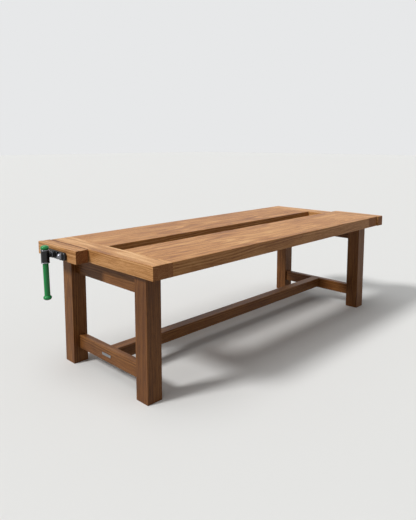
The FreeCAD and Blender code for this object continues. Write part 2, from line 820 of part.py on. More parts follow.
def make_guide_rod(label, y, placement):
    """A steel rod from the front plate to the tie bar, with a smaller threaded end at each."""
    body = new_body(label, placement)
    thread = size.rod_thread_diameter / 2
    thread_start = rod_boss_face - size.cap_nut_dome_height / 2
    turn_about_x(body, f"{label}_turned", y, screw_z, [
        (thread_start, 0),
        (thread_start, thread),
        (jaw_front, thread),
        (jaw_front, size.rod_diameter / 2),
        (tie_bar_front, size.rod_diameter / 2),
        (tie_bar_front, thread),
        (tie_nut_back, thread),
        (tie_nut_back, 0),
    ])


def make_cap_nuts(label, placement):
    """The domed nuts on the front ends of the guide rods."""
    nuts = []
    dome_radius = size.cap_nut_dome_diameter / 2
    dome_height = size.cap_nut_dome_height
    rim_front = rod_boss_face - size.cap_nut_rim
    for place_name, y in rod_places.items():
        name = f"{label}_{place_name}"
        body = doc.addObject("PartDesign::Body", name)
        turn_about_x(body, f"{name}_turned", y, screw_z, [
            (rim_front - dome_height, 0, cap_radius(dome_radius, dome_height)),
            (rim_front, dome_radius),
            (rim_front, size.cap_nut_diameter / 2),
            (rod_boss_face, size.cap_nut_diameter / 2),
            (rod_boss_face, 0),
        ])
        thread_end = rod_boss_face - size.cap_nut_dome_height / 2 - size.press_gap
        pocket(body, f"{name}_thread", "YZ", thread_end, rod_boss_face,
               (y, screw_z, size.rod_thread_diameter / 2 + size.press_gap))
        nuts.append(body)
    group(label, nuts, placement)


def make_tie_bar(label, placement):
    """The flat bar that ties the back ends of the guide rods, with the screw free through it."""
    half = size.rod_from_screw + size.tie_bar_beyond_rod
    body = board(label, (tie_bar_front, tie_bar_back), (screw_y - half, screw_y + half),
                 (screw_z - size.tie_bar_height / 2, screw_z + size.tie_bar_height / 2), size.arris, placement)
    holes = [(screw_y, screw_z, screw_hole)]
    holes += [(place, screw_z, size.rod_thread_diameter / 2 + size.press_gap) for place in rod_places.values()]
    pocket(body, f"{label}_holes", "YZ", tie_bar_front, tie_bar_back, *holes)


def make_tie_bar_nuts(label, placement):
    """The plain nuts behind the tie bar."""
    nuts = []
    for place_name, y in rod_places.items():
        name = f"{label}_{place_name}"
        blank = hexagon(f"{name}_blank", size.tie_nut_across, size.tie_nut_thickness, tie_bar_back, y, screw_z, ALONG_X)
        hole = cylinder(f"{name}_hole", size.rod_thread_diameter / 2 + size.press_gap, size.tie_nut_thickness,
                        tie_bar_back, y, screw_z, ALONG_X)
        nuts.append(cut(name, blank, hole))
    group(label, nuts, placement)


def make_screw(label, placement):
    """The vise screw: a spigot for the hub, a thrust collar, and the threaded length at its
    outer diameter."""
    body = new_body(label, placement)
    radius = size.screw_diameter / 2
    spigot = size.spigot_diameter / 2
    rim = size.collar_diameter / 2
    turn_about_x(body, f"{label}_turned", screw_y, screw_z, [
        (spigot_start, 0),
        (spigot_start, spigot),
        (hub_socket_end, spigot),
        (hub_socket_end, radius),
        (collar_front, radius),
        (collar_front, rim - size.collar_front_round, size.collar_front_round),
        (collar_front + size.collar_front_round, rim),
        (collar_back, rim),
        (collar_back, radius),
        (screw_tip - size.screw_end_chamfer, radius),
        (screw_tip, radius - size.screw_end_chamfer),
        (screw_tip, 0),
    ])
    low = screw_z - radius - 1
    high = screw_z + radius + 1
    pocket(body, f"{label}_hub_pin_hole", "XY", low, high,
           (hub_pin_x, screw_y, size.hub_pin_diameter / 2 + size.press_gap))
    pocket(body, f"{label}_retainer_pin_hole", "XY", low, high,
           (retainer_front + size.retainer_thickness / 2, screw_y, size.retainer_pin_diameter / 2 + size.press_gap))


def make_retainer(side_name, placement):
    """The ring behind the jaw, pinned to the screw, that draws the jaw out with it."""
    label = f"{side_name}_screw_retainer"
    body = new_body(label, placement)
    middle = retainer_front + size.retainer_thickness / 2
    reach = size.retainer_diameter / 2
    pad(body, f"{label}_ring", "YZ", retainer_front, retainer_front + size.retainer_thickness,
        (screw_y, screw_z, reach), (screw_y, screw_z, size.screw_diameter / 2 + size.press_gap))
    pin_hole = (middle, screw_y, size.retainer_pin_diameter / 2 + size.press_gap)
    pocket(body, f"{label}_pin_hole", "XY", screw_z - reach - 1, screw_z + reach + 1, pin_hole)
    pin = cylinder(f"{side_name}_retainer_pin", size.retainer_pin_diameter / 2, size.retainer_diameter - size.free_gap,
                   middle, screw_y, screw_z - reach + size.free_gap / 2)
    group(f"{side_name}_retainer_pin", [pin], placement)


def make_hub(side_name, placement):
    """The cast hub that carries the handle, and the pin that fixes it on the screw."""
    label = f"{side_name}_screw_hub"
    body = new_body(label, placement)
    radius = size.hub_diameter / 2
    turn_about_z(body, f"{label}_barrel", hub_x, screw_y, [
        (0, hub_low),
        (radius - size.arris, hub_low, -size.arris),
        (radius, hub_low + size.arris),
        (radius, hub_high - size.arris, -size.arris),
        (radius - size.arris, hub_high),
        (0, hub_high),
    ])
    socket = size.hub_socket_diameter / 2
    pad(body, f"{label}_socket", "YZ", hub_x, hub_socket_end, (screw_y, screw_z, socket))
    pocket(body, f"{label}_bore", "XY", hub_low, hub_high, (hub_x, screw_y, size.hub_bore / 2))
    pocket(body, f"{label}_spigot_bore", "YZ", spigot_start - size.press_gap, hub_socket_end,
           (screw_y, screw_z, size.spigot_diameter / 2 + size.press_gap))
    pin_radius = size.hub_pin_diameter / 2
    pocket(body, f"{label}_pin_hole", "XY", screw_z - socket - 1, screw_z + socket + 1,
           (hub_pin_x, screw_y, pin_radius + size.press_gap))
    pin = cylinder(f"{side_name}_hub_pin", pin_radius, size.hub_socket_diameter - size.free_gap,
                   hub_pin_x, screw_y, screw_z - socket + size.free_gap / 2)
    group(f"{side_name}_hub_pin", [pin], placement)


def make_hub_bushes(label, placement):
    """The flanged bushes in the two ends of the hub, which the handle slides through."""
    bushes = []
    sleeve = size.hub_bore / 2 - size.press_gap
    bore = size.handle_diameter / 2 + size.running_gap
    rim = size.bush_flange_diameter / 2
    for end, face, way in (("upper", hub_high, 1), ("lower", hub_low, -1)):
        name = f"{label}_{end}"
        body = doc.addObject("PartDesign::Body", name)
        inner_end = face - size.hub_bush_length * way
        outer_end = face + size.bush_flange_thickness * way
        crown = size.bush_flange_thickness / 2 * way
        profile = [
            (bore, inner_end),
            (sleeve, inner_end),
            (sleeve, face),
            (rim - size.bush_flange_thickness / 2, face, -crown),
            (rim, face + crown, -crown),
            (rim - size.bush_flange_thickness / 2, outer_end),
            (bore, outer_end),
        ]
        turn_about_z(body, f"{name}_turned", hub_x, screw_y, profile)
        bushes.append(body)
    group(label, bushes, placement)


def make_handle(side_name, placement):
    """The handle bar and the two knobs on its spigots."""
    label = f"{side_name}_handle_bar"
    body = new_body(label, placement)
    radius = size.handle_diameter / 2
    spigot = size.knob_spigot_diameter / 2
    reach = size.knob_spigot_length
    turn_about_z(body, f"{label}_turned", hub_x, screw_y, [
        (0, lower_knob_face - reach),
        (spigot, lower_knob_face - reach),
        (spigot, lower_knob_face),
        (radius, lower_knob_face),
        (radius, upper_knob_face),
        (spigot, upper_knob_face),
        (spigot, upper_knob_face + reach),
        (0, upper_knob_face + reach),
    ])
    knobs = []
    for end, face, way in (("upper", upper_knob_face, 1), ("lower", lower_knob_face, -1)):
        name = f"{side_name}_{end}_knob"
        knob = doc.addObject("PartDesign::Body", name)
        widest = size.knob_diameter / 2
        waist = face + size.knob_waist_height * way
        crown = face + size.knob_height * way
        flat = size.knob_face_diameter / 2
        turn_about_z(knob, f"{name}_turned", hub_x, screw_y, [
            (0, face),
            (flat, face, -size.knob_lower_round * way),
            (widest, waist, -size.knob_upper_round * way),
            (size.knob_crown_diameter / 2, crown - size.knob_crown_rise * way,
             -cap_radius(size.knob_crown_diameter / 2, size.knob_crown_rise) * way),
            (0, crown),
        ])
        inner_end, outer_end = sorted((face, face + (reach + size.press_gap) * way), key=lambda place: place.value)
        pocket(knob, f"{name}_socket", "XY", inner_end, outer_end,
               (hub_x, screw_y, spigot + size.press_gap))
        knobs.append(knob)
    group(f"{side_name}_handle_knobs", knobs, placement)


def make_nut(label, placement):
    """The cast nut that the screw runs in, flanged against the inside of the end cap."""
    body = new_body(label, placement)
    half_length = size.nut_flange_length / 2
    half_height = size.nut_flange_height / 2
    flange = rectangle(screw_y - half_length, screw_y + half_length, screw_z - half_height, screw_z + half_height)
    pad(body, f"{label}_flange", "YZ", cap_inner, nut_flange_back, flange)
    round_all(body, size.arris)
    pad(body, f"{label}_barrel", "YZ", nut_flange_back - size.arris, nut_back,
        (screw_y, screw_z, size.nut_diameter / 2))
    holes = [(screw_y, screw_z, size.screw_diameter / 2 + size.running_gap)]
    holes += [(screw_y + size.nut_screw_along * along, screw_z + size.nut_screw_up * up,
               size.nut_screw_diameter / 2 + size.pilot_gap) for along, up in plate_screw_places]
    pocket(body, f"{label}_holes", "YZ", cap_inner, nut_back, *holes)


def make_nut_screws(label, placement):
    """The four screws that hold the nut to the end cap."""
    screws = []
    shank_length = size.nut_screw_length
    for number, (along, up) in enumerate(plate_screw_places, 1):
        y = screw_y + size.nut_screw_along * along
        z = screw_z + size.nut_screw_up * up
        shank = cylinder(f"{label}_shank_{number}", size.nut_screw_diameter / 2, shank_length,
                         nut_flange_back - shank_length, y, z, ALONG_X)
        head = cylinder(f"{label}_head_{number}", size.nut_screw_head / 2, size.nut_screw_head_height,
                        nut_flange_back, y, z, ALONG_X)
        screws.append(fused(f"{label}_{number}", shank, head))
    group(label, screws, placement)


def make_rod_bushes(label, placement):
    """The flanged bushes that guide the rods, one at each face of the end cap."""
    bushes = []
    bore = size.rod_diameter / 2 + size.running_gap
    flange = size.rod_bush_flange_thickness
    for place_name, y in rod_places.items():
        for end, seat, way in (
            ("outer", cap_outer + size.rod_bush_below_face + flange, 1),
            ("inner", cap_inner, -1),
        ):
            name = f"{label}_{place_name}_{end}"
            body = doc.addObject("PartDesign::Body", name)
            rim_face = seat - flange * way
            sleeve_end = seat + size.rod_bush_length * way
            turn_about_x(body, f"{name}_turned", y, screw_z, [
                (rim_face, bore),
                (rim_face, rod_bush_rim),
                (seat, rod_bush_rim),
                (seat, rod_bush_outer),
                (sleeve_end, rod_bush_outer),
                (sleeve_end, bore),
            ])
            bushes.append(body)
    group(label, bushes, placement)


def make_vise(side_name, placement, lean, slid):
    """All the pieces of the vise at one end, with the handle leaning and slid as it was left."""
    screw_axis = Vector(0, screw_y.value, screw_z.value)
    about_screw = Placement(Vector(0, 0, 0), Rotation(Vector(1, 0, 0), -lean.value), screw_axis)
    turned = placement.multiply(about_screw)
    make_jaw(f"{side_name}_vise_jaw", placement)
    make_front_plate(f"{side_name}_front_plate", placement)
    make_plate_screws(f"{side_name}_plate_screws", placement)
    for place_name, y in rod_places.items():
        make_guide_rod(f"{side_name}_guide_rod_{place_name}", y, placement)
    make_cap_nuts(f"{side_name}_rod_cap_nuts", placement)
    make_tie_bar(f"{side_name}_tie_bar", placement)
    make_tie_bar_nuts(f"{side_name}_tie_bar_nuts", placement)
    make_screw(f"{side_name}_vise_screw", turned)
    make_retainer(side_name, turned)
    make_hub(side_name, turned)
    make_hub_bushes(f"{side_name}_hub_bushes", turned)
    make_handle(side_name, turned.multiply(Placement(Vector(0, 0, slid.value), Rotation())))
    make_nut(f"{side_name}_vise_nut", placement)
    make_nut_screws(f"{side_name}_nut_screws", placement)
    make_rod_bushes(f"{side_name}_rod_bushes", placement)


# ---- the whole bench ----


def make_bench():
    """Every piece, each twin turned half round."""
    make_slab("slab_back", AS_DRAWN)
    make_slab("slab_front", HALF_TURN)
    make_end_cap("end_cap_left", AS_DRAWN)
    make_end_cap("end_cap_right", HALF_TURN)
    make_cap_pegs()
    make_leg("leg_back_left", 1, AS_DRAWN)
    make_leg("leg_front_left", -1, AS_DRAWN)
    make_leg("leg_front_right", 1, HALF_TURN)
    make_leg("leg_back_right", -1, HALF_TURN)
    make_upper_rail("upper_rail_left", AS_DRAWN)
    make_upper_rail("upper_rail_right", HALF_TURN)
    left_stretcher = make_end_stretcher("end_stretcher_left", AS_DRAWN)
    make_end_stretcher("end_stretcher_right", HALF_TURN)
    make_long_stretcher()
    make_coach_screws()
    make_blank_plate(left_stretcher)
    make_vise("left", AS_DRAWN, size.left_handle_lean_degrees, as_size(0))
    make_vise("right", HALF_TURN, size.right_handle_lean_degrees, size.right_handle_slid)


def check_document():
    """Stop if any object failed, any cut removed nothing, or any node isn't sound."""
    for thing in doc.Objects:
        if {"Invalid", "Error"} & set(thing.State):
            raise RuntimeError(f"{thing.Label} failed: {thing.State}")
        if thing.TypeId == "PartDesign::Pocket" and thing.Shape.Volume > thing.BaseFeature.Shape.Volume - 1:
            raise RuntimeError(f"{thing.Label} cuts nothing")
    for label, piece in nodes.items():
        shape = piece.Shape
        if shape.isNull() or not shape.isValid() or shape.Volume <= 0:
            raise RuntimeError(f"{label} isn't a sound solid")


def write_nodes():
    """One STEP file for each node."""
    os.makedirs("parts", exist_ok=True)
    for label, piece in nodes.items():
        piece.Shape.exportStep(f"parts/{label}.step")
        print(label, len(piece.Shape.Solids), round(piece.Shape.Volume))


make_bench()
doc.recompute()
check_document()
write_nodes()
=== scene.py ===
# %% [markdown]
# # A joiner's bench with a vise across each end
#
# The bench is two heavy hardwood slabs with an open slot between them, an end cap across each
# end, two leg frames and a long stretcher. A wooden jaw at each end is moved by a screw, and its
# green handle slides through a black hub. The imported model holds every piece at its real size, so
# this lesson is about finishes: what oiled wood, enamel and the vises' steels look like, and about
# the few pieces whose real surface needs more than a plain solid.

import math

import bmesh
import bpy
from mathutils import Matrix, Vector


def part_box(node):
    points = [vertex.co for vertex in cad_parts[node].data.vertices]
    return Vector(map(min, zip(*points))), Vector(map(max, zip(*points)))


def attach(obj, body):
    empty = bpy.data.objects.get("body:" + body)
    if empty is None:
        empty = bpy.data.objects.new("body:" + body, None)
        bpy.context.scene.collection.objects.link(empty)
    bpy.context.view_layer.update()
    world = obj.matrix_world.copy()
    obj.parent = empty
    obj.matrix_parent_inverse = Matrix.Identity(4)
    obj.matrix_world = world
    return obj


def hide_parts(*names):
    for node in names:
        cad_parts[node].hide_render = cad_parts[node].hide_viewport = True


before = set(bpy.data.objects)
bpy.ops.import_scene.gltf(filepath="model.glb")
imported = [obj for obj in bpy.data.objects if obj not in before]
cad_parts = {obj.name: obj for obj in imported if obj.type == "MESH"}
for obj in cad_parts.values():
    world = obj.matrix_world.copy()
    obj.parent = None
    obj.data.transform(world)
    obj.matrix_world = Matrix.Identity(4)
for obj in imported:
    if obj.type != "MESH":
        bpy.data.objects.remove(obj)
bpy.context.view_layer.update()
MM = 0.001

# %% [markdown]
# ## The camera
#
# The camera stands off the left front corner, a little above the top, as someone who walks up to
# the bench would see it. Tilting it down at the bench would be the simple way, but then the legs
# would lean together towards the floor. It points nearly level instead, and its lens is shifted
# down as a view camera's is, which keeps the legs upright.

# %% Place the camera
FRAME_WIDTH, FRAME_HEIGHT = 416, 520
SENSOR = 36.0
FOCAL_PIXELS = 501.8
SHIFT_PIXELS = -54.9
CAMERA_PLACE = (-3.0311, -2.6592, 1.5342)
DEGREES_DOWN = 7.07
DEGREES_TURNED = -45.51

long_side = max(FRAME_WIDTH, FRAME_HEIGHT)
camera_data = bpy.data.cameras.new("camera")
camera_data.sensor_width = SENSOR
camera_data.lens = FOCAL_PIXELS * SENSOR / long_side
camera_data.shift_y = SHIFT_PIXELS / long_side
camera = bpy.data.objects.new("camera", camera_data)
camera.location = CAMERA_PLACE
camera.rotation_euler = (math.radians(90 - DEGREES_DOWN), 0, math.radians(DEGREES_TURNED))
bpy.context.scene.collection.objects.link(camera)
bpy.context.scene.camera = camera
print("lens:", round(camera_data.lens, 1), "mm, shift:", round(camera_data.shift_y, 3))

# %% [markdown]
# ## Colours and nodes
#
# Colours are written the way a paint card gives them, as sRGB hex, and one function turns them
# into the linear values that the shaders work in. A material is a small tree of nodes, so one
# more function adds a node together with its settings and its links.

# %% Helpers for colours and nodes


def linear(hex_colour):
    """An sRGB hex colour as linear RGBA."""
    channels = [int(hex_colour[place:place + 2], 16) / 255 for place in (1, 3, 5)]
    return tuple(c / 12.92 if c <= 0.04045 else ((c + 0.055) / 1.055) ** 2.4 for c in channels) + (1.0,)


def add(tree, kind, inputs=None, stops=(), **settings):
    """Add a node. Its inputs are values, or what to link from: a socket, or a node, which means
    that node's first output in use. Stops are a colour ramp's places and hex colours."""
    node = tree.nodes.new("ShaderNode" + kind)
    for name, value in settings.items():
        setattr(node, name, value)
    for name, value in (inputs or {}).items():
        if isinstance(value, bpy.types.Node):
            value = next(output for output in value.outputs if output.enabled)
        if isinstance(value, bpy.types.NodeSocket):
            tree.links.new(value, node.inputs[name])
        else:
            node.inputs[name].default_value = value
    for number, (place, hex_colour) in enumerate(stops):
        elements = node.color_ramp.elements
        element = elements[number] if number < len(elements) else elements.new(place)
        element.position = place
        element.color = linear(hex_colour)
    return node


def new_material(name, surface):
    """A material with one Principled shader, whose inputs surface(tree) gives."""
    material = bpy.data.materials.new(name)
    material.use_nodes = True
    tree = material.node_tree
    tree.nodes.clear()
    shader = add(tree, "BsdfPrincipled", surface(tree))
    add(tree, "OutputMaterial", {"Surface": shader})
    print(name, "nodes:", len(tree.nodes))
    return material


def dress(node, material):
    """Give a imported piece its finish."""
    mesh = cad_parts[node].data
    mesh.materials.clear()
    mesh.materials.append(material)


# %% [markdown]
# ## Oiled hardwood
#
# Everything but the vises and the fasteners is solid hardwood, rubbed with oil. A flat pattern
# could be laid on each face like paper, but its lines wouldn't meet at the corners. Wood is a
# solid, so its pattern is worked out in space and every face of a board cuts through it: long
# lines where a face runs with the grain, arcs of growth rings where the end is sawn. Each board
# needs a space of its own for that, turned so that the first number runs along its grain.

# %% Find a board's own space
TURN_TO_GRAIN = {"x": (0, 0, 0), "y": (0, 0, math.radians(-90)), "z": (0, math.radians(90), 0)}
# a face is sawn end as far as it looks along the grain: not yet at the first number, all of it at
# the second
SAWN_FROM, SAWN_AT = 0.6, 0.9


def board_space(tree, board, grain):
    """Coordinates in metres from the board's middle, with the first one along the grain, and the
    share of the surface that is sawn end."""
    low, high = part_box(board)
    turn = TURN_TO_GRAIN[grain]
    source = add(tree, "TexCoord").outputs
    centred = add(tree, "VectorMath", {0: source["Object"], 1: (low + high) / 2}, operation="SUBTRACT")
    place = add(tree, "Mapping", {"Vector": centred, "Rotation": turn})
    facing = add(tree, "Mapping", {"Vector": source["Normal"], "Rotation": turn})
    along = add(tree, "SeparateXYZ", {0: facing}).outputs["X"]
    steep = add(tree, "Math", {0: along}, operation="ABSOLUTE")
    sawn_end = add(tree, "MapRange", {"Value": steep, "From Min": SAWN_FROM, "From Max": SAWN_AT})
    return place, sawn_end


# %% [markdown]
# ## Staves and growth rings
#
# A wide slab is glued up from staves, and an eye that knows wood looks for the glue lines. One
# pattern across the whole slab would hide them, so it starts again at each glue line, in another
# part of another tree. White noise gives each stave its three chances: its place along the tree,
# its lean and its distance to one side.
#
# The rings are shells round the heart of the tree, which lies outside the board and leans a
# little, and that lean is what draws the long pointed arches on a flat-sawn face. Real rings are
# 2 to 4 mm apart, finer than this picture shows, so they are gathered into bands about 9 mm wide.

# %% Cut staves from the tree
# how many metres apart along the tree two staves' places can be
TREE_TO_TREE = 7.0


def stave_space(tree, place, stave, seed):
    """Coordinates within a stave of this width, moved along to its own tree, and its chances."""
    board = add(tree, "SeparateXYZ", {0: place}).outputs
    staves_off = add(tree, "Math", {0: board["Y"], 1: stave}, operation="DIVIDE")
    number = add(tree, "Math", {0: staves_off}, operation="ROUND")
    middle = add(tree, "Math", {0: number, 1: stave}, operation="MULTIPLY")
    across = add(tree, "Math", {0: board["Y"], 1: middle}, operation="SUBTRACT")
    own_seed = add(tree, "Math", {0: number, 1: seed}, operation="ADD")
    luck = add(tree, "TexWhiteNoise", {"W": own_seed}, noise_dimensions="1D").outputs["Color"]
    chance = add(tree, "SeparateColor", {0: luck}).outputs
    along = add(tree, "Math", {0: chance["Red"], 1: TREE_TO_TREE, 2: board["X"]}, operation="MULTIPLY_ADD")
    return add(tree, "CombineXYZ", {"X": along, "Y": across, "Z": board["Z"]}), chance


# %% Grow the rings
BAND = 9 * MM
RING_DETAIL, RING_ROUGHNESS = 3.0, 0.6
# a pattern is a length along the grain, a width across it, and its detail
STRAY = (625 * MM, 200 * MM, 2.0)
# how much the heart's lean over a metre differs between staves, as a share of the wander
LEAN_SHARE = 1.6


def mottle(tree, place, length, width, detail):
    """Noise in blobs of about this length, along the first axis of place, and this width."""
    stretch = (1 / length, 1 / width, 1 / width)
    scaled = add(tree, "VectorMath", {0: place, 1: stretch}, operation="MULTIPLY")
    return add(tree, "TexNoise", {"Vector": scaled, "Scale": 1.0, "Detail": detail})


def growth_rings(tree, place, own_place, chance, stave, heart, wander):
    """Bands of 0 to 1 round the heart of the tree, as one stave cuts through them."""
    along = add(tree, "SeparateXYZ", {0: place}).outputs["X"]
    own = add(tree, "SeparateXYZ", {0: own_place}).outputs
    most = wander * LEAN_SHARE
    lean = add(tree, "Math", {0: chance["Green"], 1: most, 2: -most / 2}, operation="MULTIPLY_ADD")
    depth = add(tree, "Math", {0: along, 1: lean, 2: heart}, operation="MULTIPLY_ADD")
    aside = add(tree, "Math", {0: chance["Blue"], 1: stave, 2: -stave / 2}, operation="MULTIPLY_ADD")
    from_heart = add(tree, "CombineXYZ", {
        "Y": add(tree, "Math", {0: own["Y"], 1: aside}, operation="ADD"),
        "Z": add(tree, "Math", {0: own["Z"], 1: depth}, operation="ADD")})
    # the rings aren't quite round, so every place drifts a little towards or away from the heart
    stray = mottle(tree, own_place, *STRAY).outputs["Color"]
    farthest = Vector((0, wander, wander))
    drift = add(tree, "VectorMath", {0: stray, 1: farthest, 2: -farthest / 2}, operation="MULTIPLY_ADD")
    bent = add(tree, "VectorMath", {0: from_heart, 1: drift}, operation="ADD")
    radius = add(tree, "VectorMath", {0: bent}, operation="LENGTH")
    bands = add(tree, "Math", {0: radius, 1: BAND}, operation="DIVIDE")
    return add(tree, "TexNoise", {"W": bands, "Scale": 1.0, "Detail": RING_DETAIL,
                                  "Roughness": RING_ROUGHNESS}, noise_dimensions="1D")


# %% [markdown]
# ## Painted shade in the seams beside the jaws
#
# A jaw rests 5 mm from its end cap, and the two edges that face each other across that narrow gap
# are darkened as painted shade, for the shade that falls into the gap. Painting them by hand would
# need a picture. Their places are known from the imported model, so the darkening is worked out
# from how far a point is from the seam. It fades over a few millimetres, so that the painted shade
# has no hard edge.

# %% Paint shade into the seams
SEAM_REACH = 2 * MM
JAW_BESIDE = {"end_cap_left": "left_vise_jaw", "end_cap_right": "right_vise_jaw",
              "left_vise_jaw": "left_vise_jaw", "right_vise_jaw": "right_vise_jaw"}


def painted_seam_shade(tree, board, jaw):
    """The share of painted shade: 1 along the upper edge where an end cap and its jaw face each
    other, and 0 away from it.
    """
    low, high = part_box(board)
    jaw_low, jaw_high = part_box(jaw)
    # an end cap's seam is on its outer side, and a jaw's on its inner side
    seam = low.x if (board == jaw) == (low.x > 0) else high.x
    middle, half = (jaw_low.y + jaw_high.y) / 2, (jaw_high.y - jaw_low.y) / 2
    place = add(tree, "SeparateXYZ", {0: add(tree, "TexCoord").outputs["Object"]}).outputs
    seam_shade = 1.0
    for axis, centre, full_to, gone_at in (("X", seam, SEAM_REACH, SEAM_REACH * 2),
                                           ("Z", high.z, SEAM_REACH, SEAM_REACH * 3),
                                           ("Y", middle, half - SEAM_REACH * 4, half)):
        off = add(tree, "Math", {0: place[axis], 1: centre}, operation="SUBTRACT")
        away = add(tree, "Math", {0: off}, operation="ABSOLUTE")
        fading = add(tree, "MapRange", {"Value": away, "From Min": gone_at, "From Max": full_to})
        seam_shade = add(tree, "Math", {0: seam_shade, 1: fading}, operation="MULTIPLY")
    return seam_shade


# %% [markdown]
# ## Figure, colour and sheen
#
# Over the rings lie slow changes of tone along the plank, streaks of fibre, short darker flecks
# and open pores that catch the oil. One noise with much detail would make them all alike, so each
# has its own length and width, and they are added up like glazes. Fibres and pores are drawn a
# few times coarser than real ones, so that they show close to. The sum runs through a ramp of four
# browns. Oil soaks into sawn ends, so they are darker and duller. Everywhere else it leaves a low,
# uneven sheen, and the pores show as fine dents where the light grazes.

# %% Sizes of the wood's figure
CLOUD = (450 * MM, 90 * MM, 3.0)
STREAK = (120 * MM, 6 * MM, 2.0)
FIBRE = (60 * MM, 1.5 * MM, 4.0)
FLECK = (70 * MM, 10 * MM, 2.0)
PORE = (12 * MM, 0.7 * MM, 1.0)
RING_SHARE, CLOUD_SHARE, STREAK_SHARE, FIBRE_SHARE = 0.75, 0.50, 0.55, 0.40
# the noise at which a fleck or a pore starts to show and shows fully, and how much it darkens
FLECK_FROM, FLECK_AT, FLECK_DARKER = 0.58, 0.74, 0.18
PORE_FROM, PORE_AT, PORE_DARKER = 0.58, 0.66, 0.20
# the figure's middle on the ramp, how far apart the staves are on it, and where its tones are
MIDDLE_TONE, STAVE_TONES = 0.54, 0.14
TONE_PLACES = (0.12, 0.4, 0.62, 0.9)

# %% Finish one board
SAWN_TINT, SAWN_SHARE = "#A88A78", 0.75
# the colour of the painted shade in the seams beside the jaws
PAINTED_SEAM_SHADE = "#786254"
# the roughness of oiled wood, and what fibres and sawn ends add to it
OILED, FIBRE_DULLER, SAWN_DULLER = 0.34, 0.22, 0.15
RELIEF, RELIEF_STRENGTH, PORE_DEPTH = 0.25 * MM, 0.35, 0.6


def oiled_wood(board, grain, seed, stave, heart, wander, tones):
    """Oiled hardwood for one board: grain is the axis it grew along, stave the width of its glued
    strips, heart how far off the middle of the tree is, wander how far its rings stray from round,
    and tones its colours from dark to light."""

    def surface(tree):
        place, sawn_end = board_space(tree, board, grain)
        own_place, chance = stave_space(tree, place, stave, seed)
        rings = growth_rings(tree, place, own_place, chance, stave, heart, wander)
        cloud, streak, fibre, fleck, pore = (
            mottle(tree, own_place, *pattern) for pattern in (CLOUD, STREAK, FIBRE, FLECK, PORE))
        flecks = add(tree, "MapRange", {"Value": fleck, "From Min": FLECK_FROM, "From Max": FLECK_AT})
        pores = add(tree, "MapRange", {"Value": pore, "From Min": PORE_FROM, "From Max": PORE_AT})

        darkest_stave = MIDDLE_TONE - STAVE_TONES / 2
        figure = add(tree, "Math", {0: chance["Green"], 1: STAVE_TONES, 2: darkest_stave},
                     operation="MULTIPLY_ADD")
        for part, share in ((rings, RING_SHARE), (cloud, CLOUD_SHARE), (streak, STREAK_SHARE),
                            (fibre, FIBRE_SHARE)):
            lighter = add(tree, "Math", {0: part, 1: 0.5}, operation="SUBTRACT")
            figure = add(tree, "Math", {0: lighter, 1: share, 2: figure}, operation="MULTIPLY_ADD")
        for marks, darker in ((flecks, FLECK_DARKER), (pores, PORE_DARKER)):
            figure = add(tree, "Math", {0: marks, 1: -darker, 2: figure}, operation="MULTIPLY_ADD")

        colour = add(tree, "ValToRGB", {"Fac": figure}, zip(TONE_PLACES, tones))
        soaked = add(tree, "Math", {0: sawn_end, 1: SAWN_SHARE}, operation="MULTIPLY")
        tints = [(soaked, SAWN_TINT)]
        # painted shade along the edges where a board faces a jaw across its gap
        if board in JAW_BESIDE:
            tints.append((painted_seam_shade(tree, board, JAW_BESIDE[board]), PAINTED_SEAM_SHADE))
        for share, tint in tints:
            colour = add(tree, "Mix", {"Factor": share, 6: colour, 7: linear(tint)},
                         data_type="RGBA", blend_type="MULTIPLY")

        rough = add(tree, "Math", {0: fibre, 1: FIBRE_DULLER, 2: OILED}, operation="MULTIPLY_ADD")
        relief = add(tree, "Math", {0: pores, 1: -PORE_DEPTH, 2: fibre}, operation="MULTIPLY_ADD")
        return {
            "Base Color": colour,
            "Roughness": add(tree, "Math", {0: sawn_end, 1: SAWN_DULLER, 2: rough}, operation="MULTIPLY_ADD"),
            "Normal": add(tree, "Bump", {"Height": relief, "Distance": RELIEF, "Strength": RELIEF_STRENGTH}),
            "IOR": 1.47,
            "Specular IOR Level": 0.25,
        }

    return new_material(f"oiled_hardwood_{board}", surface)


# %% Finish every board
TOP_TONES = ("#70401F", "#A56D39", "#C28A52", "#D8A970")
# lighter than the top's tones: painted light, for the ends of the bench standing nearer the light
CAP_LIT_TONES = ("#7C4A27", "#B27C46", "#D09A64", "#E4B883")
# darker than the top's tones: painted shade, for the light falling off towards the floor over the legs, rails
# and stretchers
FRAME_SHADED_TONES = ("#482911", "#6D421F", "#86572C", "#A06F3F")
SEED_STEP = 11.7

